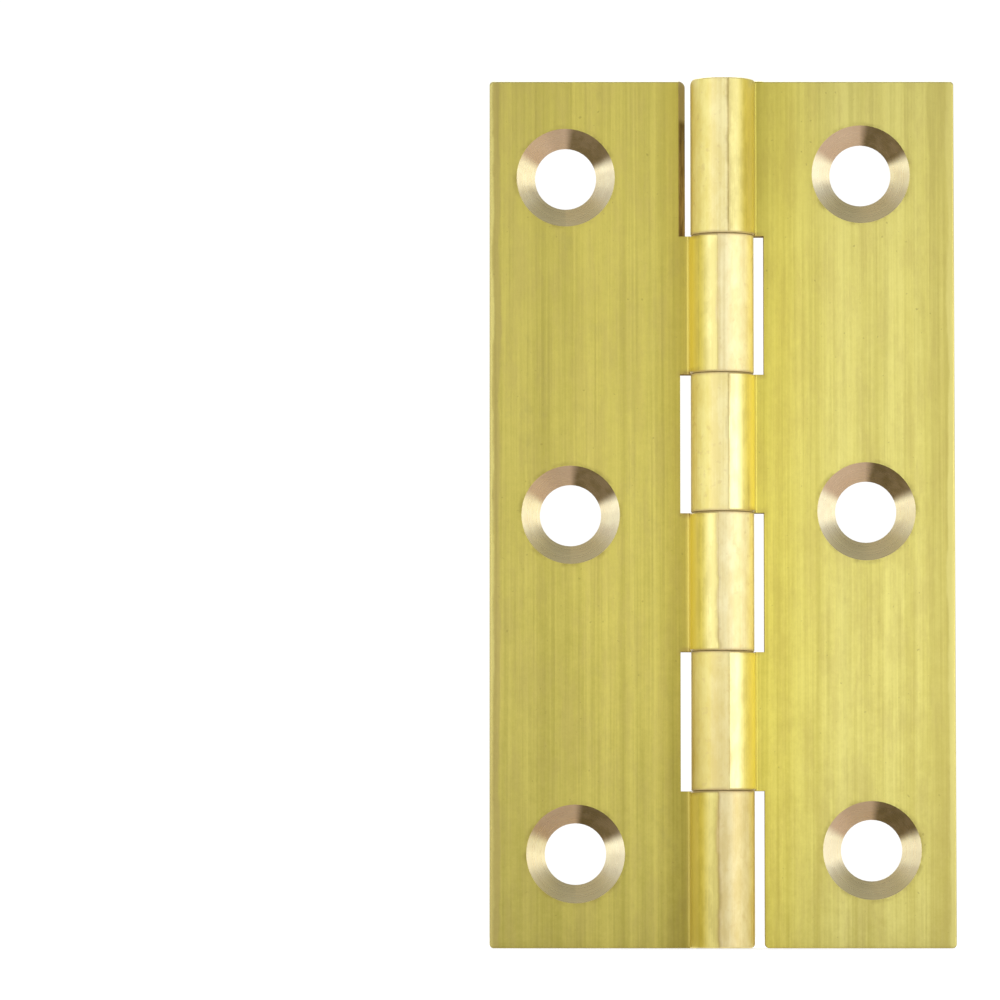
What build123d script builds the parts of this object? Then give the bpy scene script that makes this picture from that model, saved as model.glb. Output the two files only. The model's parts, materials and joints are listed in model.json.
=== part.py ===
from build123d import *
import os
from math import radians, tan

# A solid drawn brass butt hinge, opened flat.
# Each leaf is one length of drawn section: a flat plate with a round bulb along one edge.
# The bulb is cut into knuckles that mesh with those of the other leaf, its free side is milled
# round, and one pin runs through all the knuckles. The two leaves are the same piece, and the
# left one is turned end for end.
#
# Lengths are in millimetres and angles in degrees. The pin lies on the Z axis, +Z is up, the open
# leaves lie along X, and the countersunk faces look to -Y. The origin is at half height.

# Leaf section
HEIGHT = 75.0  # of the leaves and the barrel, along the pin
LEAF_WIDTH = 20.1  # from the pin's axis to a leaf's outer edge
LEAF_THICKNESS = 1.55
CLOSED_GAP = 0.84  # between the countersunk faces when the hinge is shut
BULB_FILLET = 0.22  # in the two corners between plate and bulb
EDGE_RADIUS = 0.15  # softened edges of the drawn blank
CORNER_RADIUS = 0.35  # a leaf's outer corners, seen from the front

# Knuckles
KNUCKLE_COUNT = 6  # on both leaves together
KNUCKLE_DIAMETER = 5.45  # of the milled side
END_KNUCKLE_EXTRA = 1.5  # by which an end knuckle is longer than the others
KNUCKLE_GAP = 0.04  # between one knuckle and the next
KNUCKLE_BEVEL = 0.05  # on the milled side, at the joints between knuckles
KNUCKLE_CLEARANCE = 0.9  # between a knuckle and the other leaf's cut-out
SHOULDER_STEP = 0.1  # by which the drawn side of the bulb stands proud of the milled side
SEAM_OFFSET = 0.5  # from the pin's axis to the end of the milled side, towards the plate
BARREL_END_ROUND = 0.45  # corner of the milled side at the two ends of the barrel
CUTOUT_CORNER = 0.4  # corner of the plate beside the open cut-out at its end
LEFT_WALL_OUT = 0.12  # by which the wall of the left leaf's open cut-out leans out at the front
LEFT_WALL_IN = 0.48  # and in at the back

# Pin
PIN_DIAMETER = 2.6  # a tight fit in the right leaf
PIN_CLEARANCE = 0.05  # all round the pin in the left leaf's knuckles
PIN_RECESS = 0.15  # of the pin's ends below those of the barrel
PIN_END_ROUND = 0.3

# Screw holes
HOLE_COUNT = 3  # in each leaf
HOLE_DIAMETER = 5.3
COUNTERSINK_DIAMETER = 8.5
COUNTERSINK_ANGLE = 100.0
HOLE_END_DISTANCE = 8.25  # from a leaf's end to the nearest hole
LEFT_HOLE_EDGE = 7.0  # from the outer edge to the middle of the hole line
RIGHT_HOLE_EDGE = 7.65
HOLE_LINE_LEAN = 0.8  # the hole line nears the pin towards the leaf's own end knuckle
HOLE_LINE_SHIFT = 0.15  # of all the holes towards that end

# Sizes that follow from these
FACE = CLOSED_GAP / 2  # the countersunk face, behind the pin's axis
BACK = FACE + LEAF_THICKNESS
MILLED_RADIUS = KNUCKLE_DIAMETER / 2
BULB_RADIUS = MILLED_RADIUS + SHOULDER_STEP
CUTOUT_WALL = MILLED_RADIUS + KNUCKLE_CLEARANCE
END = HEIGHT / 2
OUTSIDE = LEAF_WIDTH + BULB_RADIUS  # a length that carries a cut out of the part


def knuckle_spans():
    """Lowest and highest point of each knuckle's share of the barrel, from the top down."""
    inner = (HEIGHT - 2 * END_KNUCKLE_EXTRA) / KNUCKLE_COUNT
    spans, top = [], END
    for number in range(KNUCKLE_COUNT):
        is_end = number in (0, KNUCKLE_COUNT - 1)
        bottom = top - inner - (END_KNUCKLE_EXTRA if is_end else 0)
        spans.append((bottom, top))
        top = bottom
    return spans


def drawn_blank():
    """A length of the drawn section, with its plate towards +X and its outer edges softened."""
    bulb = Rot(0, 0, 180) * Circle(BULB_RADIUS)
    plate = Pos(LEAF_WIDTH / 2, (FACE + BACK) / 2) * Rectangle(LEAF_WIDTH, LEAF_THICKNESS)
    section = bulb + plate
    roots = section.vertices().filter_by_position(Axis.X, 0, BULB_RADIUS)
    blank = extrude(fillet(roots, BULB_FILLET), END, both=True)

    outer_corners = blank.edges().filter_by(Axis.Y).group_by(Axis.X)[-1]
    blank = fillet(outer_corners, CORNER_RADIUS)

    outer_edges = blank.edges().filter_by(Axis.Z).group_by(Axis.X)[-1]
    smooth_lines = blank.edges().filter_by(Axis.Z) + blank.edges().filter_by(Axis.Y)
    sharp = outer_edges + [edge for edge in blank.edges() if edge not in smooth_lines]
    return fillet(sharp, EDGE_RADIUS)


def milled_waste():
    """What milling takes off the free side of the bulb: all that lies outside the round knuckles."""
    knuckles = Cylinder(MILLED_RADIUS, HEIGHT)
    knuckles = fillet(knuckles.edges().filter_by(GeomType.CIRCLE), EDGE_RADIUS)
    for end in (END, -END):
        knuckles -= rounded_corner(-MILLED_RADIUS, end, BARREL_END_ROUND)
    free_side = Pos(SEAM_OFFSET, 0, 0) * Box(
        OUTSIDE, OUTSIDE, HEIGHT + OUTSIDE, align=(Align.MAX, Align.CENTER, Align.CENTER)
    )
    return free_side - knuckles


def cutout(low, high, lean_out, lean_in):
    """Room for one knuckle of the other leaf. At a leaf's end, its wall may lean out and in."""
    at_end = high >= END or low <= -END
    front_wall = CUTOUT_WALL + (lean_out if at_end else 0)
    back_wall = CUTOUT_WALL - (lean_in if at_end else 0)
    room = Polyline(
        (-OUTSIDE, -OUTSIDE),
        (front_wall, -OUTSIDE),
        (front_wall, FACE),
        (back_wall, BACK),
        (back_wall, OUTSIDE),
        (-OUTSIDE, OUTSIDE),
        close=True,
    )
    bottom = low - (OUTSIDE if low <= -END else KNUCKLE_GAP / 2)
    top = high + (OUTSIDE if high >= END else KNUCKLE_GAP / 2)
    tool = Pos(0, 0, bottom) * extrude(make_face(room), top - bottom)
    for edge, upward in ((high, 1), (low, -1)):
        if edge * upward >= END:
            tool += rounded_corner(back_wall, edge, CUTOUT_CORNER)
        else:
            tool += eased_edge(edge + upward * KNUCKLE_GAP / 2, upward)
    return tool


def eased_edge(height, upward):
    """What a bevel takes off the leaf's own knuckle that starts at this height and goes up or down."""
    inner = MILLED_RADIUS - KNUCKLE_BEVEL
    reach = SHOULDER_STEP + 2 * KNUCKLE_BEVEL
    section = Polyline((inner, 0), (inner + reach, 0), (inner + reach, upward * reach), close=True)
    ring = revolve(Plane.XZ * make_face(section), Axis.Z)
    plate = Pos(OUTSIDE / 2, (FACE + BACK) / 2) * Box(OUTSIDE, LEAF_THICKNESS, OUTSIDE)
    return Pos(0, 0, height) * (ring - plate)


def rounded_corner(wall, end, radius):
    """What rounding takes off the corner between a wall that faces -X and the leaf's end."""
    inward = radius if end < 0 else -radius
    corner = Pos(wall, end) * Rectangle(2 * radius, 2 * radius)
    kept = Pos(wall + radius, end + inward) * Circle(radius)
    return extrude(Plane.XZ * (corner - kept), OUTSIDE, both=True)


def screw_holes(edge_distance):
    """The countersunk holes, in a line that leans a little from the pin."""
    pitch = (HEIGHT - 2 * HOLE_END_DISTANCE) / (HOLE_COUNT - 1)
    holes = []
    for number in range(HOLE_COUNT):
        along = pitch * (number - (HOLE_COUNT - 1) / 2)
        across = LEAF_WIDTH - edge_distance - along * tan(radians(HOLE_LINE_LEAN))
        mouth = Plane((across, FACE, along + HOLE_LINE_SHIFT), z_dir=(0, -1, 0))
        holes.append(
            mouth
            * CounterSinkHole(
                HOLE_DIAMETER / 2, COUNTERSINK_DIAMETER / 2, OUTSIDE, COUNTERSINK_ANGLE
            )
        )
    return holes


def leaf(other_spans, bore_diameter, hole_edge, lean_out=0, lean_in=0):
    """A leaf in its own frame: plate towards +X, own end knuckle at the top."""
    body = drawn_blank() - milled_waste()
    for low, high in other_spans:
        body -= cutout(low, high, lean_out, lean_in)
    body -= Cylinder(bore_diameter / 2, HEIGHT + OUTSIDE)
    for hole in screw_holes(hole_edge):
        body -= hole
    return body


def hinge_pin():
    """The pin, a little shorter than the barrel and rounded over at both ends."""
    pin = Cylinder(PIN_DIAMETER / 2, HEIGHT - 2 * PIN_RECESS)
    return fillet(pin.edges().filter_by(GeomType.CIRCLE), PIN_END_ROUND)


spans = knuckle_spans()
right_spans, left_spans = spans[0::2], spans[1::2]
left_cutouts = [(-high, -low) for low, high in right_spans]  # as the turned leaf has them

parts = {
    "right_leaf": leaf(left_spans, PIN_DIAMETER, RIGHT_HOLE_EDGE),
    "left_leaf": Rot(0, 180, 0)
    * leaf(
        left_cutouts, PIN_DIAMETER + 2 * PIN_CLEARANCE, LEFT_HOLE_EDGE, LEFT_WALL_OUT, LEFT_WALL_IN
    ),
    "hinge_pin": hinge_pin(),
}

os.makedirs("parts", exist_ok=True)
for name, solid in parts.items():
    export_step(solid, f"parts/{name}.step")
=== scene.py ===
import json
from collections import namedtuple
from math import radians

import bpy
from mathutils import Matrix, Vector


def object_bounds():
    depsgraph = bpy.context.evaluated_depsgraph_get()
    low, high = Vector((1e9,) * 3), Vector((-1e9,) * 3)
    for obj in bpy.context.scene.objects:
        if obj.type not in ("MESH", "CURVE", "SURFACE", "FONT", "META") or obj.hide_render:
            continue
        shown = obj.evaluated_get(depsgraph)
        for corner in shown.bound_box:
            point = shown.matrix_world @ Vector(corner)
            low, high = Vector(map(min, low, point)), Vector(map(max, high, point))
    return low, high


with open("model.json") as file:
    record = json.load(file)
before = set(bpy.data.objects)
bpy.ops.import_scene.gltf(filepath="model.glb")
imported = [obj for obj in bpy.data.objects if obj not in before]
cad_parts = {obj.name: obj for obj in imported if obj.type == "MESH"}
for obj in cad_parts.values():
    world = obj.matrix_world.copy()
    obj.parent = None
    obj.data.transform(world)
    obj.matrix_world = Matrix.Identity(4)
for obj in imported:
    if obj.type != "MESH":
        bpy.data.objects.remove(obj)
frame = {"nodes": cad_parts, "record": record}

# A drawn brass butt hinge standing open on a white floor. Lengths are in metres.
cad_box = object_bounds()
MM = 0.001

# Sizes of the hinge that tell its finishes apart
OUTER_EDGE = cad_box[1].x  # from the pin's axis to a leaf's outer edge
END = cad_box[1].z
FACE = 0.42 * MM  # the countersunk face, behind the pin's axis
BACK = 1.97 * MM
SEAM = 0.5 * MM  # from the pin's axis to the end of a knuckle's milled side
KNUCKLE_PITCH = 12.0 * MM  # from one joint between knuckles to the next, with one at half height
LAST_JOINT = 24.0 * MM  # height of the joint nearest to an end of the barrel
BARREL_RADIUS = 2.9 * MM
ROOT = 3.05 * MM  # from the pin's axis to where the plate grows out of the barrel
CUTOUT_DEPTH = 3.8 * MM  # from the pin's axis, a little more than the cut-outs' walls
COUNTERSINK_RADIUS = 4.25 * MM
TOUCH = 0.01 * MM
SOFT = 0.12 * MM  # half the width over which one tone gives way to another
FLAT_END = 0.95  # how far a face has to turn up or down to be a sawn end
FACING_PIN = 0.5  # how far one has to turn to the pin to be the wall of a cut-out

# Finishes of a leaf, in the order of its materials
DRAWN, KNUCKLE, COUNTERSINK, SAWN, WALL = range(5)

# Camera of the photograph
CAMERA_PLACE = Vector((-19.2, -584.6, -36.35)) * MM
CAMERA_PITCH = 3.665  # degrees upward
FOCAL_LENGTH = 244.4  # in millimetres, as is the sensor's width
SENSOR_WIDTH = 36.0
CLIP_START = 0.01
CLIP_END = 20.0

# Floor and sun
FLOOR_HALF = 3.0
FLOOR_COLOUR = (0.8, 0.8, 0.8)
FLOOR_GLOW = 0.42
SUN_STRENGTH = 1.3
SUN_ANGLE = 40.0  # degrees across, which softens its shadow
SUN_DIRECTION = Vector((0.0, -0.8, -0.6))

# Light of the surroundings by its direction, a unit vector. A pair of numbers says where along one
# of its axes a light starts to give way to the next one, and where it has done so.
Side = namedtuple("Side", "window_from window_to window flank")
LEFT_SIDE = Side(window_from=-0.985, window_to=-0.8, window=1.78, flank=0.85)
RIGHT_SIDE = Side(window_from=-0.94, window_to=-0.7, window=2.7, flank=1.1)
WINDOW_EDGE = 0.18  # width over which a window takes over from the front
FLANK_EDGE = 0.4  # and the flank from the window
LEFT_TO_RIGHT = (-0.2, 0.2)
SIDES_TO_BACK = (0.1, 0.5)
LOW_TO_UPPER = (0.2, 0.45)
UPPER_TO_CEILING = (0.5, 0.85)
BACKDROP_DEPTH = (0.1, 0.4)
BACKDROP_HEIGHT = (0.3, 0.6)
STRAIGHT_BEHIND = (0.93, 0.97)
FRONT_LIGHT = 0.68
BACK_LIGHT = 0.7
UPPER_LIGHT = 0.62
CEILING_LIGHT = 0.42
BACKDROP_LIGHT = 1.05

# Colours of each leaf, and how far they reach. Several are painted light and shade, as said beside them.
LEFT_LOOK = {
    "pale": (0.745, 0.647, 0.155),
    "deep": (0.59, 0.512, 0.11),
    "smudges": 0.24,
    "middle": 12.0 * MM,  # height at which the plate's painted shade is least
    # Painted shade towards the plate's ends and towards its outer edge
    "end_shade": (0.82, 0.82, 0.84),
    "outer_shade": (0.9, 0.9, 0.92),
    # Painted golden reflection of the barrel on the plate beside it
    "barrel_reflection_reach": 6.5 * MM,  # from the pin's axis to where the painted golden reflection of the barrel ends
    "barrel_reflection": (0.88, 0.845, 0.7),
    # Painted highlight on the fillet at the root, and a little past it
    "root_light_and_shade": (1.2, 1.2, 1.4),
    "root_light_reach": 0.24 * MM,  # of that painted highlight past the fillet at the root
    "rim": 0.3 * MM,  # its width, in from the outer edge
    "rim_strength": 0.6,
    "band": 0.85 * MM,  # its width, rim included
    "band_strength": 0.4,
    "band_colour": (0.43, 0.32, 0.14),
    "milled_pale": (1.0, 0.91, 0.56),
    "milled_deep": (0.86, 0.73, 0.36),
    # Painted shade on the milled side's flanks, away from its highlight
    "milled_flank_shade": (1.0, 1.0, 0.94),
    # The shoulder's crown colour is a painted highlight, its gold colour a painted reflection of the plate
    "crown_highlight": (0.98, 0.885, 0.385),
    "flank": (0.84, 0.7, 0.145),
    "gold_reflection": (1.0, 0.87, 0.29),
}
RIGHT_LOOK = {
    "pale": (0.9, 0.816, 0.255),
    "deep": (0.745, 0.658, 0.175),
    "smudges": 0.1,
    "middle": 3.0 * MM,
    # Painted shade towards the plate's ends and towards its outer edge
    "end_shade": (0.78, 0.78, 0.82),
    "outer_shade": (1.0, 1.0, 1.0),
    # Painted golden reflection of the barrel on the plate beside it
    "barrel_reflection_reach": 11.0 * MM,
    "barrel_reflection": (1.0, 0.97, 0.66),
    # Painted shade on the fillet at the root
    "root_light_and_shade": (0.8, 0.79, 0.8),
    "root_light_reach": 0.0,
    "rim": 0.6 * MM,
    "rim_strength": 0.6,
    "band": 2.2 * MM,
    "band_strength": 0.3,
    "band_colour": (0.52, 0.43, 0.11),
    "milled_pale": (1.0, 0.9, 0.48),
    "milled_deep": (0.9, 0.77, 0.33),
    # Painted shade on the milled side's flanks, away from its highlight
    "milled_flank_shade": (1.0, 1.0, 0.77),
    # The shoulder's crown colour is a painted highlight, its gold colour a painted reflection of the plate
    "crown_highlight": (0.98, 0.9, 0.47),
    "flank": (0.84, 0.71, 0.18),
    "gold_reflection": (0.81, 0.715, 0.28),
}

# Colours that both leaves share, and those of the pin
BLACK = (0.0, 0.0, 0.0)
# Tan: the plate's tan patches, and painted light on the front edge of the cut-outs' walls
TAN_AND_WALL_LIGHT = (0.56, 0.44, 0.15)
SMUDGE = (0.44, 0.38, 0.13)
PALE_RIM = (0.92, 0.83, 0.29)
# Wear and a painted highlight on edges that face up and on the knuckles' bevels
WEAR_AND_HIGHLIGHT = (1.0, 0.93, 0.55)
# Painted shade on edges that face down or outward
EDGE_SHADE = (0.4, 0.33, 0.11)
DIRT = (0.3, 0.23, 0.06)
# Grime and painted shade along the seam and joints, painted shade in the corners
GRIME_AND_SHADE = (0.38, 0.25, 0.09)
DUST = (0.62, 0.45, 0.2)
STAIN = (0.72, 0.55, 0.24)
SHOULDER_TINT = (0.82, 0.8, 0.74)
# Painted shade on the knuckles at the ends of the barrel
END_KNUCKLE_SHADE = (0.86, 0.84, 0.69)
# Painted shade on the knuckles towards the hinge's foot
FOOT_SHADE = (0.88, 0.85, 0.8)
TURNED_PALE = (0.96, 0.88, 0.62)
TURNED_DEEP = (0.88, 0.78, 0.54)
# Painted reflections on the lower and upper parts of each cone, painted shade at its upper right
TURNED_LOWER_REFLECTION = (0.82, 0.7, 0.36)
TURNED_UPPER_REFLECTION = (0.44, 0.275, 0.178)
SECTOR_SHADE = (0.1, 0.07, 0.02)
# Painted shade and light on the cut-outs' walls
WALL_SHADE_PALE = (0.42, 0.29, 0.09)
WALL_SHADE_DEEP = (0.23, 0.145, 0.035)
WALL_SHADE_DARK = (0.06, 0.04, 0.012)
WALL_END_LIGHT = (0.43, 0.34, 0.147)
SAWN_PALE = (0.86, 0.7, 0.36)
SAWN_DEEP = (0.68, 0.52, 0.23)
PIN_PALE = (0.82, 0.66, 0.34)
PIN_DEEP = (0.62, 0.47, 0.21)

# Textures: cells a metre, how many times finer cells are added, how strong those are, and the share
# of the cells along each axis, which is small where they are drawn out
EVEN = (1.0, 1.0, 1.0)
Texture = namedtuple("Texture", "cells detail roughness stretch", defaults=(0.5, EVEN))
FINE_LINES = Texture(5200.0, 3.0, 0.6, (1.0, 1.0, 0.008))
BANDS = Texture(800.0, 3.0, stretch=(1.0, 1.0, 0.005))
BLOTCHES = Texture(300.0, 5.0, 0.65, (1.0, 1.0, 0.35))
GRAIN = Texture(1100.0, 5.0, 0.8)
KNUCKLE_MOTTLE = Texture(900.0, 5.0, 0.65, (1.0, 1.0, 0.5))
SEAM_WAVE = Texture(200.0, 5.0, 0.6, (0.0, 0.0, 1.0))
TURNED_RINGS = Texture(6500.0, 3.0, 0.65)
TURNED_MOTTLE = Texture(900.0, 4.0, 0.6)
WALL_MARKS = Texture(2600.0, 3.0, 0.6, (1.0, 1.0, 0.2))
SAW_MARKS = Texture(5000.0, 3.0, 0.6, (0.25, 1.0, 0.25))
SAWN_MOTTLE = Texture(700.0, 3.0)

# Patches of a stain: their texture, the values of it where the stain starts and is full, and how
# much of the stain there is before and after
Patches = namedtuple("Patches", "texture start full least most")
TAN_PATCHES = Patches(Texture(700.0, 5.0, 0.7, (1.0, 1.0, 0.25)), 0.42, 0.66, 0.0, 0.24)
SMUDGES = Patches(Texture(330.0, 6.0, 0.7, (1.0, 1.0, 0.6)), 0.56, 0.76, 0.0, 1.0)  # most is the look's
SPECKS = Patches(Texture(2400.0, 1.0), 0.71, 0.79, 0.0, 0.35)
# Painted shade in patches in the corners beside the joints
CORNER_SHADE = Patches(Texture(350.0, 3.0), 0.4, 0.6, 0.0, 0.7)
MOUTH_GRIME = Patches(Texture(520.0, 4.0, 0.65), 0.46, 0.66, 0.06, 0.5)
# Grime and painted shade at the joints
JOINT_GRIME_AND_SHADE = Patches(KNUCKLE_MOTTLE, 0.4, 0.6, 0.05, 0.35)
STAINS = Patches(Texture(1500.0, 3.0), 0.58, 0.72, 0.0, 0.3)
# Patches of the painted shade at each cone's upper right
SECTOR_SHADE_PATCHES = Patches(Texture(1100.0, 3.0), 0.35, 0.65, 0.81, 0.9)

# Surfaces: roughness on the low and high lines, depth of the relief, and how far the gloss spreads
Surface = namedtuple("Surface", "smooth rough depth spread", defaults=(0.0,))
DRAWN_SURFACE = Surface(0.31, 0.42, 0.03 * MM, 0.55)
KNUCKLE_SURFACE = Surface(0.43, 0.53, 0.03 * MM, 0.3)
TURNED_SURFACE = Surface(0.25, 0.33, 0.006 * MM, 0.8)
SAWN_SURFACE = Surface(0.39, 0.51, 0.03 * MM)
PIN_SURFACE = Surface(0.34, 0.46, 0.03 * MM)
WALL_ROUGHNESS = 0.8
WALL_SHINE = 0.05
WALL_RELIEF_DEPTH = 0.03 * MM
SHOULDER_POLISH = 0.13  # by which the drawn side is smoother than the milled one, save on end knuckles
BUMP_STRENGTH = 0.4

# Shares of the first texture where two are mixed, and the values between which a mixture shows
FINE_TO_BANDS = 0.38
LINES_TO_BLOTCHES = 0.82
STREAKS_TO_GRAIN = 0.8
RELIEF_SHARE = 0.6
KNUCKLE_BLOTCHES = 0.3
KNUCKLE_LINES = 0.45
RINGS_TO_MOTTLE = 0.2
STREAK_RANGE = (0.34, 0.66)
KNUCKLE_RANGE = (0.4, 0.6)
TONE_RANGE = (0.35, 0.65)
GLOSS_RANGE = (0.3, 0.7)
STREAK_CONTRAST = 1.28  # at half height
CONTRAST_SLOPE = -13.0  # change of that a metre upward

# Where tones on a plate start and are full. Out is measured from the pin's axis, along is the height
# towards the leaf's own end knuckle, and a turn is one part of the unit vector square to the surface.
# Painted shade towards a plate's ends and towards its outer edge
END_SHADE_FROM_MIDDLE = (14.0 * MM, 50.0 * MM)
OUTER_SHADE_OUT = (10.0 * MM, 19.0 * MM)
ROOT_SHADE_OUT = (6.0 * MM, ROOT)
ROOT_SHADE_ALONG = (0.0, 30.0 * MM)
ROOT_SHADE = 0.18
PLATE_CORNER_OUT = (CUTOUT_DEPTH + 3 * SOFT, ROOT)
MOUTH_RADIUS = (COUNTERSINK_RADIUS + 4 * SOFT, COUNTERSINK_RADIUS)
RAGGED = 0.6 * MM  # by which the rim and the band wander in and out
# The rim thins towards the leaf's own end as painted shade
RIM_FADE_ALONG = (5.0 * MM, 34.0 * MM)
RIM_LEAST = 0.45
OFF_ROOT_OUT = (3.4 * MM, 3.8 * MM)
EDGE_TURN = (0.1, 0.4)
OUTER_FACE_TURN = (0.99, 0.9)
# Wear and painted highlight on upward edges, painted shade on downward and outward ones
WORN_HIGHLIGHT_ABOVE = 0.8
SHADE_BELOW = 0.15
SHADE_OUTSIDE = 0.4

# The same on the knuckles
# Where the shoulder's painted highlight gives way to the flank, and that to the painted gold reflection
CROWN_TO_FLANK_OUT = (1.1 * MM, 2.0 * MM)
FLANK_TO_GOLD_OUT = (2.0 * MM, 2.6 * MM)
MILLED_FLANK_START = (-0.8 * MM, -1.4 * MM)
MILLED_FLANK_STOP = (-2.5 * MM, -2.0 * MM)
KNUCKLE_CORNER_OUT = (1.0 * MM, 2.6 * MM)
FOOT_HEIGHT = (-6.0 * MM, -22.0 * MM)
END_KNUCKLE_ALONG = (LAST_JOINT - 1.0 * MM, LAST_JOINT + 1.0 * MM)
PAST_JOINTS_HEIGHT = (LAST_JOINT + 4.0 * MM, LAST_JOINT + 2.0 * MM)
SEAM_WANDER = 0.7 * MM  # to either side of its place
# Grime and painted shade along the seam and at the joints
SEAM_GRIME_AND_SHADE_REACH = 2.5 * SOFT
SEAM_GRIME_AND_SHADE_ALONG = (-12.0 * MM, 20.0 * MM)
SEAM_GRIME_AND_SHADE = (0.05, 0.38)  # at those two heights
JOINT_GRIME_AND_SHADE_REACH = 3.5 * SOFT
# Reach of the painted shade in the corners beside the joints
CORNER_SHADE_REACH = 5 * SOFT
DUST_REACH = 2 * SOFT
DUST_COVER = 0.8
BEVEL_TURN = (0.1, 0.5)
# Wear and a painted highlight on the bevels at the joints
BEVEL_WEAR_AND_HIGHLIGHT = 0.4

# The same in the countersinks, where toward is the direction from the hole's axis, and on the walls; in
# both they place painted light and shade
LOWER_TOWARD = (-0.35, -0.78)
LOWER_COVER = 0.78
UPPER_TOWARD = (0.28, 0.55)
UPPER_COVER = 0.82
SECTOR_SHADE_UP = (0.22, 0.52)
SECTOR_SHADE_RIGHT = (-0.05, 0.2)
# Painted shade on the tall wall upward, painted light at its end and on the walls' front edge
WALL_DARK_HEIGHT = (28.5 * MM, 33.8 * MM)
WALL_DARK = 0.5
WALL_END_HEIGHT = (33.7 * MM, 34.4 * MM)
WALL_FRONT_DEPTH = (FACE + 4 * SOFT, FACE)
WALL_FRONT = 0.4


def screw_axes(leaf):
    """Places of one leaf's screw holes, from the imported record."""
    side = leaf.split("_")[0]
    mounts = frame["record"]["mounts"]
    screws = [mount for mount in mounts if mount["name"].endswith("screw")]
    return [Vector(mount["pos_m"]) for mount in screws if mount["name"].startswith(side)]


# Shader helpers


def add(tree, kind, inputs=None, **settings):
    """A new node with its settings. Its inputs are values, or sockets to link."""
    new = tree.nodes.new(kind)
    for name, value in settings.items():
        setattr(new, name, value)
    for key, value in (inputs or {}).items():
        socket = new.inputs[key]
        if isinstance(value, bpy.types.NodeSocket):
            tree.links.new(value, socket)
        else:
            socket.default_value = (*value, 1.0) if socket.type == "RGBA" else value
    return new


def calc(tree, operation, first, second=0.0, third=0.0):
    return add(tree, "ShaderNodeMath", {0: first, 1: second, 2: third}, operation=operation).outputs[0]


def times(tree, first, second):
    return calc(tree, "MULTIPLY", first, second)


def vector(tree, operation, first, second=(0.0, 0.0, 0.0)):
    node = add(tree, "ShaderNodeVectorMath", {0: first, 1: second}, operation=operation)
    return node.outputs["Value" if operation == "LENGTH" else "Vector"]


def by_axis(tree, value):
    return add(tree, "ShaderNodeSeparateXYZ", {0: value}).outputs


def ramp(tree, value, low, high, to_low=0.0, to_high=1.0):
    """A smooth step from to_low to to_high as value goes from low to high."""
    inputs = {"Value": value, "From Min": low, "From Max": high, "To Min": to_low, "To Max": to_high}
    return add(tree, "ShaderNodeMapRange", inputs, interpolation_type="SMOOTHSTEP").outputs[0]


def blend(tree, factor, first, second, mode="MIX", clamp=True):
    """Two colours mixed. The Mix node takes colours as its inputs 6 and 7, and gives output 2."""
    settings = {"data_type": "RGBA", "blend_type": mode, "clamp_factor": clamp}
    return add(tree, "ShaderNodeMix", {0: factor, 6: first, 7: second}, **settings).outputs[2]


def tint(tree, factor, colour, by):
    """The colour times another, to the degree that factor says."""
    return blend(tree, factor, colour, by, "MULTIPLY")


def two_tone(tree, tone, deep, pale):
    return blend(tree, ramp(tree, tone, *TONE_RANGE), deep, pale)


def fade(tree, factor, first, second):
    """Two numbers mixed, which the Mix node takes as its inputs 2 and 3."""
    return add(tree, "ShaderNodeMix", {0: factor, 2: first, 3: second}, data_type="FLOAT").outputs[0]


def mean(tree, first, second, share=0.5):
    """The two values mixed, with this share of the first."""
    return calc(tree, "MULTIPLY_ADD", first, share, times(tree, second, 1.0 - share))


def noise(tree, place, texture):
    inputs = {
        "Vector": vector(tree, "MULTIPLY", place, texture.stretch),
        "Scale": texture.cells,
        "Detail": texture.detail,
        "Roughness": texture.roughness,
    }
    return add(tree, "ShaderNodeTexNoise", inputs).outputs["Fac"]


def patches(tree, place, kind):
    """How much of a stain lies at each place."""
    return ramp(tree, noise(tree, place, kind.texture), kind.start, kind.full, kind.least, kind.most)


def own_place(tree):
    """The place on the object in metres, which stays put when a leaf swings, whole and by axis."""
    place = add(tree, "ShaderNodeTexCoord").outputs["Object"]
    return place, by_axis(tree, place)


def on_leaf(tree, axes, side):
    """How far out from the pin's axis a place is, and how far along to the leaf's own end knuckle."""
    return times(tree, axes["X"], side), times(tree, axes["Z"], side)


def world_normal(tree):
    return add(tree, "ShaderNodeNewGeometry").outputs["Normal"]


def own_normal(tree):
    """The surface's direction along the object's own axes."""
    to_object = {"vector_type": "NORMAL", "convert_from": "WORLD", "convert_to": "OBJECT"}
    turned = add(tree, "ShaderNodeVectorTransform", {0: world_normal(tree)}, **to_object)
    return by_axis(tree, turned.outputs[0])


def across_the_lines(tree):
    """The level direction along the surface, which the gloss of upright draw lines spreads along."""
    return vector(tree, "NORMALIZE", vector(tree, "CROSS_PRODUCT", (0.0, 0.0, 1.0), world_normal(tree)))


def from_axis_of(tree, place, holes):
    """Offset from the axis of the nearest of a leaf's screw holes, square to that axis."""
    flat = vector(tree, "MULTIPLY", place, (1.0, 0.0, 1.0))
    nearest, shortest = None, None
    for hole in holes:
        offset = vector(tree, "SUBTRACT", flat, (hole.x, 0.0, hole.z))
        length = vector(tree, "LENGTH", offset)
        if nearest is None:
            nearest, shortest = offset, length
            continue
        nearer = calc(tree, "LESS_THAN", length, shortest)
        picked = add(tree, "ShaderNodeMix", {0: nearer, 4: nearest, 5: offset}, data_type="VECTOR")
        nearest, shortest = picked.outputs[1], calc(tree, "MINIMUM", length, shortest)
    return nearest


def near_joint(tree, height, reach):
    """1 at a joint between two knuckles, and 0 from this far above and below it."""
    from_joint = calc(tree, "PINGPONG", height, 0.5 * KNUCKLE_PITCH)
    has_joint = ramp(tree, calc(tree, "ABSOLUTE", height), *PAST_JOINTS_HEIGHT)
    return times(tree, ramp(tree, from_joint, reach, 0.0), has_joint)


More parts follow.
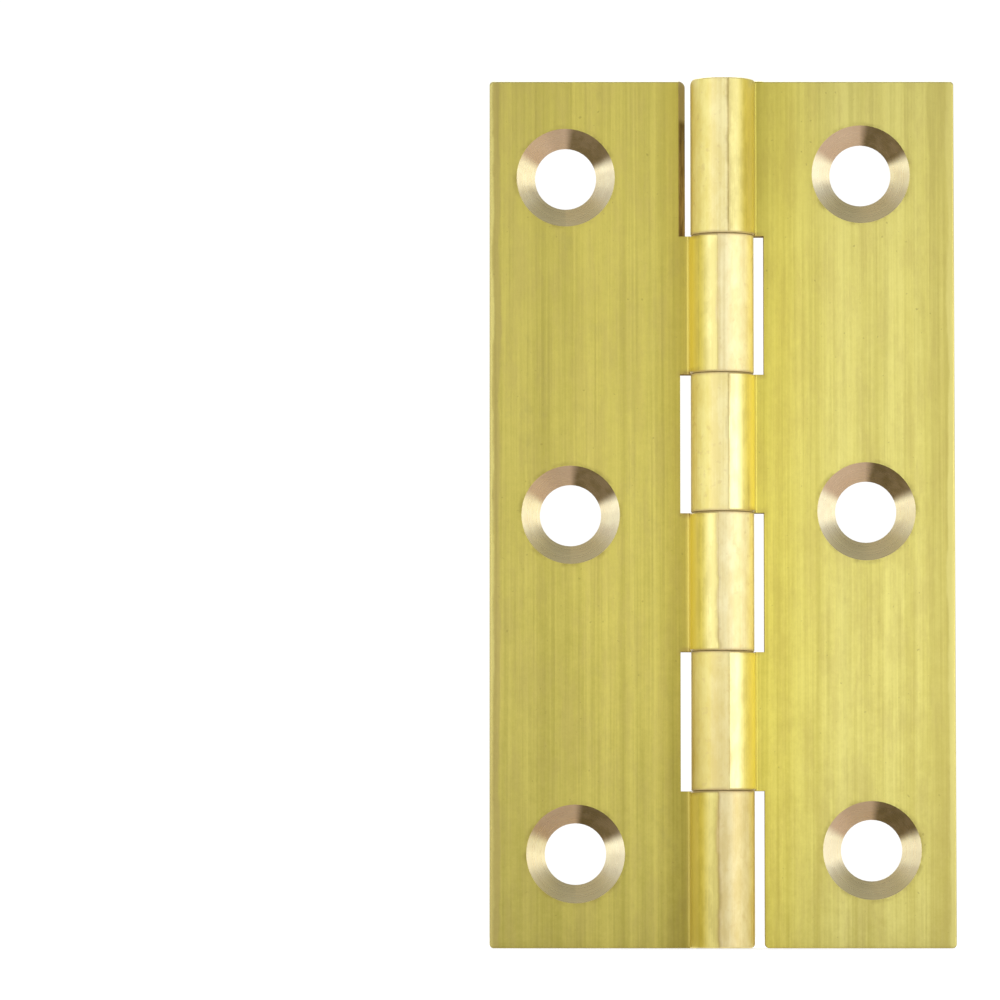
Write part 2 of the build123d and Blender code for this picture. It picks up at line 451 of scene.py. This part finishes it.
def corner_shade(tree, place, height):
    """Painted shade that lies here and there beside the joints."""
    return times(tree, near_joint(tree, height, CORNER_SHADE_REACH), patches(tree, place, CORNER_SHADE))


def new_material(name):
    material = bpy.data.materials.new(name)
    material.use_nodes = True
    material.node_tree.nodes.clear()
    return material, material.node_tree


def gloss_of(tree, lines, surface):
    """Roughness that follows the lines on a surface."""
    return ramp(tree, lines, *GLOSS_RANGE, surface.smooth, surface.rough)


def bumped(tree, relief, depth):
    """The surface's direction where it has relief, with its depth in metres."""
    inputs = {"Strength": BUMP_STRENGTH, "Distance": depth, "Height": relief}
    return add(tree, "ShaderNodeBump", inputs).outputs[0]


def close(tree, inputs):
    shader = add(tree, "ShaderNodeBsdfPrincipled", inputs)
    add(tree, "ShaderNodeOutputMaterial", {"Surface": shader.outputs[0]})


def brass(tree, colour, gloss, relief, surface, tangent=None, metal=1.0):
    """Closes a material as metal, with its gloss spread along the tangent."""
    inputs = {
        "Base Color": colour,
        "Metallic": metal,
        "Roughness": gloss,
        "Anisotropic": surface.spread,
        "Normal": bumped(tree, relief, surface.depth),
    }
    if tangent:
        inputs["Tangent"] = tangent
    close(tree, inputs)


# Finishes of the plates


def draw_lines(tree, place):
    """Fine lines, wider bands and blotches, all drawn out along the leaf."""
    return [noise(tree, place, texture) for texture in (FINE_LINES, BANDS, BLOTCHES)]


def plate_colour(tree, place, axes, lines, look):
    """Lemon brass, mottled with tan and streaked along the draw lines, most of all low down."""
    fine, bands, blotches = lines
    streaks = mean(tree, mean(tree, fine, bands, FINE_TO_BANDS), blotches, LINES_TO_BLOTCHES)
    streaks = mean(tree, streaks, noise(tree, place, GRAIN), STREAKS_TO_GRAIN)
    contrast = calc(tree, "MULTIPLY_ADD", axes["Z"], CONTRAST_SLOPE, STREAK_CONTRAST)
    tone = calc(tree, "MULTIPLY_ADD", ramp(tree, streaks, *STREAK_RANGE, -0.5, 0.5), contrast, 0.5)
    colour = blend(tree, tone, look["deep"], look["pale"], clamp=False)
    colour = blend(tree, patches(tree, place, TAN_PATCHES), colour, TAN_AND_WALL_LIGHT)
    smudges = patches(tree, place, SMUDGES._replace(most=look["smudges"]))
    return blend(tree, smudges, colour, SMUDGE)


def end_shade_mask(tree, axes, look):
    """Painted shade towards a plate's ends: 0 about its brightest height, and more the further up or down
    from there.
    """
    from_middle = calc(tree, "ABSOLUTE", calc(tree, "SUBTRACT", axes["Z"], look["middle"]))
    return ramp(tree, from_middle, *END_SHADE_FROM_MIDDLE)


def plate_shading(tree, axes, out, along, colour, look):
    """Painted light and shade over the whole plate: shade towards its ends, outside and beside the barrel,
    a golden reflection of the barrel, and at the root a highlight on the left leaf and shade on the right.
    """
    # Painted shade towards the ends and the outer edge
    colour = tint(tree, end_shade_mask(tree, axes, look), colour, look["end_shade"])
    colour = tint(tree, ramp(tree, out, *OUTER_SHADE_OUT), colour, look["outer_shade"])
    # Painted golden reflection of the barrel on the plate beside it
    colour = tint(tree, ramp(tree, out, look["barrel_reflection_reach"], ROOT), colour, look["barrel_reflection"])
    # Painted shade beside the barrel, growing towards the leaf's own end
    own_end = ramp(tree, along, *ROOT_SHADE_ALONG, 0.0, ROOT_SHADE)
    colour = tint(tree, times(tree, ramp(tree, out, *ROOT_SHADE_OUT), own_end), colour, BLACK)
    # Painted highlight on the fillet at the root of the left leaf, painted shade on that of the right
    at_root = ramp(tree, out, ROOT + look["root_light_reach"], ROOT - SOFT)
    return tint(tree, at_root, colour, look["root_light_and_shade"])


def plate_dirt(tree, place, axes, out, colour, holes):
    """Specks, painted shade beside the joints, and grime on the front round the mouths of the
    countersinks.
    """
    colour = blend(tree, patches(tree, place, SPECKS), colour, DIRT)
    # Painted shade in the plate's corners beside the joints
    in_corner = ramp(tree, out, *PLATE_CORNER_OUT)
    in_corner = times(tree, in_corner, corner_shade(tree, place, axes["Z"]))
    colour = blend(tree, in_corner, colour, GRIME_AND_SHADE)
    from_mouth = vector(tree, "LENGTH", from_axis_of(tree, place, holes))
    at_mouth = ramp(tree, from_mouth, *MOUTH_RADIUS)
    at_mouth = times(tree, at_mouth, ramp(tree, axes["Y"], BACK, FACE))
    return blend(tree, times(tree, at_mouth, patches(tree, place, MOUTH_GRIME)), colour, DIRT)


def outer_edge(tree, axes, out, along, colour, look):
    """A dull band along the outer edge, and in it a pale rim, thinned towards the leaf's own end and
    darkened towards both ends as painted shade.
    """
    inward = calc(tree, "SUBTRACT", OUTER_EDGE, out)
    in_band = ramp(tree, inward, look["band"] + SOFT, look["band"] - SOFT, 0.0, look["band_strength"])
    colour = blend(tree, in_band, colour, look["band_colour"])
    in_rim = ramp(tree, inward, look["rim"] + SOFT, look["rim"] - SOFT, 0.0, look["rim_strength"])
    # Painted shade: the rim thins towards the leaf's own end and darkens with the plate towards both ends
    in_rim = times(tree, in_rim, ramp(tree, along, *RIM_FADE_ALONG, 1.0, RIM_LEAST))
    rim_colour = tint(tree, end_shade_mask(tree, axes, look), PALE_RIM, look["end_shade"])
    return blend(tree, in_rim, colour, rim_colour)


def rounded_edges(tree, out, colour):
    """Rounded edges of the plate: wear and a painted highlight where they face up, painted shade where
    they face down or outward.
    """
    facing = own_normal(tree)
    off_root = ramp(tree, out, *OFF_ROOT_OUT)
    # Wear and a painted highlight where the edge faces up, painted shade where it faces down or outward
    above = ramp(tree, facing["Z"], *EDGE_TURN, 0.0, WORN_HIGHLIGHT_ABOVE)
    colour = blend(tree, times(tree, off_root, above), colour, WEAR_AND_HIGHLIGHT)
    below = ramp(tree, times(tree, facing["Z"], -1.0), *EDGE_TURN, 0.0, SHADE_BELOW)
    colour = blend(tree, below, colour, EDGE_SHADE)
    sideways = calc(tree, "ABSOLUTE", facing["X"])
    outside = ramp(tree, sideways, *OUTER_FACE_TURN, 0.0, SHADE_OUTSIDE)
    outside = times(tree, ramp(tree, sideways, *EDGE_TURN), outside)
    return blend(tree, times(tree, off_root, outside), colour, EDGE_SHADE)


def drawn_brass(name, side, look, holes):
    """A leaf's plate as it leaves the die and what use has done to it, with painted light and shade laid
    over it.
    """
    material, tree = new_material(name)
    place, axes = own_place(tree)
    lines = draw_lines(tree, place)
    fine, bands, blotches = lines
    out, along = on_leaf(tree, axes, side)
    colour = plate_colour(tree, place, axes, lines, look)
    colour = plate_shading(tree, axes, out, along, colour, look)
    colour = plate_dirt(tree, place, axes, out, colour, holes)
    wander = calc(tree, "MULTIPLY_ADD", blotches, 2 * RAGGED, -RAGGED)
    ragged_out = calc(tree, "ADD", out, wander)
    colour = outer_edge(tree, axes, ragged_out, along, colour, look)
    colour = rounded_edges(tree, ragged_out, colour)
    gloss = gloss_of(tree, fine, DRAWN_SURFACE)
    relief = mean(tree, bands, fine, RELIEF_SHARE)
    brass(tree, colour, gloss, relief, DRAWN_SURFACE, across_the_lines(tree))
    return material


# Finishes of the knuckles, holes and cut faces


def shoulder_colour(tree, out, tone, end_knuckle, look):
    """The drawn side of a knuckle: a pale crown that is a painted highlight, a lemon flank, and gold down
    at the plate that is a painted reflection of it, with painted shade on the end knuckles.
    """
    # Painted highlight on the crown
    colour = blend(tree, ramp(tree, out, *CROWN_TO_FLANK_OUT), look["crown_highlight"], look["flank"])
    colour = tint(tree, ramp(tree, tone, 1.0, 0.0), colour, SHOULDER_TINT)
    # Painted golden reflection of the plate near the root
    colour = blend(tree, ramp(tree, out, *FLANK_TO_GOLD_OUT), colour, look["gold_reflection"])
    # Painted shade on the end knuckles
    return tint(tree, end_knuckle, colour, END_KNUCKLE_SHADE)


def milled_colour(tree, place, axes, out, tone, look):
    """The milled side of a knuckle: pale, stained in places, with painted shade on its flanks and towards
    the hinge's foot.
    """
    colour = blend(tree, tone, look["milled_deep"], look["milled_pale"])
    flank = times(tree, ramp(tree, out, *MILLED_FLANK_START), ramp(tree, out, *MILLED_FLANK_STOP))
    # Painted shade on the flanks, away from the highlight
    colour = tint(tree, flank, colour, look["milled_flank_shade"])
    # Painted shade towards the hinge's foot
    colour = tint(tree, ramp(tree, axes["Z"], *FOOT_HEIGHT), colour, FOOT_SHADE)
    return blend(tree, patches(tree, place, STAINS), colour, STAIN)


def knuckle_grime_and_shade(tree, place, axes, out, along, past_seam):
    """How much grime and painted shade lies along the seam and at the joints, and painted shade in the
    corners beside the plate.
    """
    in_seam = ramp(tree, calc(tree, "ABSOLUTE", past_seam), SEAM_GRIME_AND_SHADE_REACH, 0.0)
    in_seam = times(tree, in_seam, ramp(tree, along, *SEAM_GRIME_AND_SHADE_ALONG, *SEAM_GRIME_AND_SHADE))
    in_joint = near_joint(tree, axes["Z"], JOINT_GRIME_AND_SHADE_REACH)
    in_joint = times(tree, in_joint, patches(tree, place, JOINT_GRIME_AND_SHADE))
    in_corner = ramp(tree, out, *KNUCKLE_CORNER_OUT)
    in_corner = times(tree, in_corner, corner_shade(tree, place, axes["Z"]))
    return calc(tree, "MAXIMUM", calc(tree, "MAXIMUM", in_seam, in_joint), in_corner)


def knuckle_brass(name, side, look):
    """A knuckle's outside: a drawn shoulder and a paler milled side that meet at a wavy seam."""
    material, tree = new_material(name)
    place, axes = own_place(tree)
    out, along = on_leaf(tree, axes, side)
    fine, bands, blotches = draw_lines(tree, place)
    mottle = mean(tree, blotches, noise(tree, place, KNUCKLE_MOTTLE), KNUCKLE_BLOTCHES)
    tone = ramp(tree, mean(tree, mean(tree, fine, bands), mottle, KNUCKLE_LINES), *KNUCKLE_RANGE)

    wave = noise(tree, place, SEAM_WAVE)
    seam = calc(tree, "MULTIPLY_ADD", wave, 2 * SEAM_WANDER, SEAM - SEAM_WANDER)
    past_seam = calc(tree, "SUBTRACT", out, seam)
    on_shoulder = ramp(tree, past_seam, -SOFT, SOFT)
    end_knuckle = ramp(tree, along, *END_KNUCKLE_ALONG)
    shoulder = shoulder_colour(tree, out, tone, end_knuckle, look)
    milled = milled_colour(tree, place, axes, out, tone, look)
    colour = blend(tree, on_shoulder, milled, shoulder)
    # Grime and painted shade along the seam and joints, painted shade in the corners
    colour = blend(tree, knuckle_grime_and_shade(tree, place, axes, out, along, past_seam), colour, GRIME_AND_SHADE)

    # Wear and a painted highlight on the bevels at the joints
    turn = calc(tree, "ABSOLUTE", own_normal(tree)["Z"])
    colour = blend(tree, ramp(tree, turn, *BEVEL_TURN, 0.0, BEVEL_WEAR_AND_HIGHLIGHT), colour, WEAR_AND_HIGHLIGHT)
    dust = times(tree, near_joint(tree, axes["Z"], DUST_REACH), DUST_COVER)
    colour = blend(tree, dust, colour, DUST)
    metal = calc(tree, "SUBTRACT", 1.0, dust)
    polished = times(tree, on_shoulder, calc(tree, "SUBTRACT", 1.0, end_knuckle))
    gloss = gloss_of(tree, fine, KNUCKLE_SURFACE)
    gloss = calc(tree, "MULTIPLY_ADD", polished, -SHOULDER_POLISH, gloss)
    relief = mean(tree, fine, bands, RELIEF_SHARE)
    brass(tree, colour, gloss, relief, KNUCKLE_SURFACE, across_the_lines(tree), metal)
    return material


def down_the_cone(tree, offset):
    """The direction down the slope of a countersink, which the gloss of its rings spreads along."""
    around = vector(tree, "CROSS_PRODUCT", (0.0, 1.0, 0.0), offset)
    to_world = {"vector_type": "VECTOR", "convert_from": "OBJECT", "convert_to": "WORLD"}
    around = add(tree, "ShaderNodeVectorTransform", {0: around}, **to_world).outputs[0]
    return vector(tree, "NORMALIZE", vector(tree, "CROSS_PRODUCT", around, world_normal(tree)))


def countersink_brass(name, holes):
    """The turned cones of the screw holes, with fine rings round each hole's axis, painted reflections on
    the lower and upper parts, and painted shade at upper right.
    """
    material, tree = new_material(name)
    place, _ = own_place(tree)
    offset = from_axis_of(tree, place, holes)
    radius = add(tree, "ShaderNodeCombineXYZ", {"X": vector(tree, "LENGTH", offset)}).outputs[0]
    rings = noise(tree, radius, TURNED_RINGS)
    tone = mean(tree, rings, noise(tree, place, TURNED_MOTTLE), RINGS_TO_MOTTLE)
    colour = two_tone(tree, tone, TURNED_DEEP, TURNED_PALE)
    toward = by_axis(tree, vector(tree, "NORMALIZE", offset))
    # Painted reflections: the cone is darker and yellower low down, rosy brown up top
    colour = blend(tree, ramp(tree, toward["Z"], *LOWER_TOWARD, 0.0, LOWER_COVER), colour, TURNED_LOWER_REFLECTION)
    colour = blend(tree, ramp(tree, toward["Z"], *UPPER_TOWARD, 0.0, UPPER_COVER), colour, TURNED_UPPER_REFLECTION)
    # Painted shade in the sector at the cone's upper right
    sector_shade = times(tree, ramp(tree, toward["Z"], *SECTOR_SHADE_UP), ramp(tree, toward["X"], *SECTOR_SHADE_RIGHT))
    sector_shade = times(tree, sector_shade, patches(tree, place, SECTOR_SHADE_PATCHES))
    colour = blend(tree, sector_shade, colour, SECTOR_SHADE)
    gloss = gloss_of(tree, rings, TURNED_SURFACE)
    brass(tree, colour, gloss, rings, TURNED_SURFACE, down_the_cone(tree, offset))
    return material


def shaded_wall_brass(name):
    """Walls of the cut-outs, dark brown as painted shade. The tall one darkens upward as painted shade,
    its end is paler as painted light, and so is the walls' front edge.
    """
    material, tree = new_material(name)
    place, axes = own_place(tree)
    marks = noise(tree, place, WALL_MARKS)
    # Dark brown as painted shade, then painted shade upward and painted light at the end and front edge
    colour = two_tone(tree, marks, WALL_SHADE_DEEP, WALL_SHADE_PALE)
    colour = blend(tree, ramp(tree, axes["Z"], *WALL_DARK_HEIGHT, 0.0, WALL_DARK), colour, WALL_SHADE_DARK)
    colour = blend(tree, ramp(tree, axes["Z"], *WALL_END_HEIGHT), colour, WALL_END_LIGHT)
    colour = blend(tree, ramp(tree, axes["Y"], *WALL_FRONT_DEPTH, 0.0, WALL_FRONT), colour, TAN_AND_WALL_LIGHT)
    inputs = {
        "Base Color": colour,
        "Roughness": WALL_ROUGHNESS,
        "Specular IOR Level": WALL_SHINE,
        "Normal": bumped(tree, marks, WALL_RELIEF_DEPTH),
    }
    close(tree, inputs)
    return material


def sawn_brass(name, pale, deep, surface):
    """Cut ends: duller brass with saw marks across the leaf."""
    material, tree = new_material(name)
    place, _ = own_place(tree)
    marks = noise(tree, place, SAW_MARKS)
    tone = mean(tree, marks, noise(tree, place, SAWN_MOTTLE))
    colour = two_tone(tree, tone, deep, pale)
    brass(tree, colour, gloss_of(tree, marks, surface), marks, surface)
    return material


def finish_of(centre, normal, side, holes):
    """Which finish a face of a leaf has, by where it lies and how it is turned."""
    out = side * centre.x  # distance from the pin's axis towards the leaf's outer edge
    from_axis = (centre.x**2 + centre.y**2) ** 0.5
    inside_plate = FACE + TOUCH < centre.y < BACK - TOUCH
    for hole in holes:
        reach = ((centre.x - hole.x) ** 2 + (centre.z - hole.z) ** 2) ** 0.5
        if inside_plate and reach < COUNTERSINK_RADIUS + TOUCH:
            return COUNTERSINK
    if abs(normal.z) > FLAT_END:
        return SAWN if abs(centre.z) > END - TOUCH else WALL
    if from_axis < BARREL_RADIUS and not (FACE < centre.y < BACK and out > SEAM):
        return KNUCKLE
    if out < CUTOUT_DEPTH and side * normal.x < -FACING_PIN:
        return WALL
    return DRAWN


def dress_leaf(leaf, side, look):
    mesh = frame["nodes"][leaf].data
    holes = screw_axes(leaf)
    mesh.materials.clear()
    mesh.materials.append(drawn_brass(leaf + "_drawn", side, look, holes))
    mesh.materials.append(knuckle_brass(leaf + "_knuckle", side, look))
    mesh.materials.append(countersink_brass(leaf + "_countersink", holes))
    mesh.materials.append(sawn_brass(leaf + "_sawn", SAWN_PALE, SAWN_DEEP, SAWN_SURFACE))
    mesh.materials.append(shaded_wall_brass(leaf + "_wall"))
    for face in mesh.polygons:
        face.material_index = finish_of(face.center, face.normal, side, holes)


def dress_pin():
    mesh = frame["nodes"]["hinge_pin"].data
    mesh.materials.clear()
    mesh.materials.append(sawn_brass("pin", PIN_PALE, PIN_DEEP, PIN_SURFACE))


# Studio: a white floor, pale surroundings and a soft sun from behind


def floor():
    mesh = bpy.data.meshes.new("floor")
    half, level = FLOOR_HALF, cad_box[0].z
    corners = [(-half, -half, level), (half, -half, level), (half, half, level), (-half, half, level)]
    mesh.from_pydata(corners, [], [(0, 1, 2, 3)])
    piece = bpy.data.objects.new("floor", mesh)
    bpy.context.scene.collection.objects.link(piece)
    material, tree = new_material("white_floor")
    path = add(tree, "ShaderNodeLightPath").outputs
    seen = calc(tree, "MAXIMUM", path["Is Camera Ray"], path["Is Glossy Ray"])
    seen = calc(tree, "MAXIMUM", seen, path["Is Transmission Ray"])
    white = add(tree, "ShaderNodeBsdfDiffuse", {"Color": FLOOR_COLOUR})
    glow = add(tree, "ShaderNodeEmission", {"Strength": times(tree, seen, FLOOR_GLOW)})
    both = add(tree, "ShaderNodeAddShader", {0: white.outputs[0], 1: glow.outputs[0]})
    add(tree, "ShaderNodeOutputMaterial", {"Surface": both.outputs[0]})
    mesh.materials.append(material)


def side_light(tree, back, side):
    """Light at one side, by how far back a direction points: the front, a window, then the flank."""
    at_window = ramp(tree, back, side.window_from, side.window_from + WINDOW_EDGE)
    at_flank = ramp(tree, back, side.window_to, side.window_to + FLANK_EDGE)
    return fade(tree, at_flank, fade(tree, at_window, FRONT_LIGHT, side.window), side.flank)


def surroundings():
    """Light by its direction: white behind, bright low windows at the sides, a dim ceiling."""
    world = bpy.data.worlds.new("studio")
    bpy.context.scene.world = world
    world.use_nodes = True
    tree = world.node_tree
    tree.nodes.clear()
    axes = by_axis(tree, add(tree, "ShaderNodeTexCoord").outputs["Generated"])
    left = side_light(tree, axes["Y"], LEFT_SIDE)
    right = side_light(tree, axes["Y"], RIGHT_SIDE)
    level = fade(tree, ramp(tree, axes["X"], *LEFT_TO_RIGHT), left, right)
    level = fade(tree, ramp(tree, axes["Y"], *SIDES_TO_BACK), level, BACK_LIGHT)
    level = fade(tree, ramp(tree, axes["Z"], *LOW_TO_UPPER), level, UPPER_LIGHT)
    level = fade(tree, ramp(tree, axes["Z"], *UPPER_TO_CEILING), level, CEILING_LIGHT)
    backdrop = times(tree, ramp(tree, axes["Y"], *BACKDROP_DEPTH), ramp(tree, axes["Z"], *BACKDROP_HEIGHT))
    backdrop = calc(tree, "MAXIMUM", backdrop, ramp(tree, axes["Y"], *STRAIGHT_BEHIND))
    level = fade(tree, backdrop, level, BACKDROP_LIGHT)
    shader = add(tree, "ShaderNodeBackground", {"Color": (1.0, 1.0, 1.0), "Strength": level})
    add(tree, "ShaderNodeOutputWorld", {"Surface": shader.outputs[0]})


def soft_sun():
    lamp = bpy.data.lights.new("sun", "SUN")
    lamp.energy = SUN_STRENGTH
    lamp.angle = radians(SUN_ANGLE)
    piece = bpy.data.objects.new("sun", lamp)
    bpy.context.scene.collection.objects.link(piece)
    piece.rotation_euler = SUN_DIRECTION.to_track_quat("-Z", "Y").to_euler()


def camera():
    view = bpy.data.cameras.new("camera")
    view.lens = FOCAL_LENGTH
    view.sensor_width = SENSOR_WIDTH
    view.clip_start = CLIP_START
    view.clip_end = CLIP_END
    piece = bpy.data.objects.new("camera", view)
    bpy.context.scene.collection.objects.link(piece)
    piece.location = CAMERA_PLACE
    piece.rotation_euler = (radians(90.0 + CAMERA_PITCH), 0.0, 0.0)
    bpy.context.scene.camera = piece


dress_leaf("left_leaf", -1, LEFT_LOOK)
dress_leaf("right_leaf", 1, RIGHT_LOOK)
dress_pin()
floor()
surroundings()
soft_sun()
camera()
bpy.context.scene.view_settings.view_transform = "Standard"
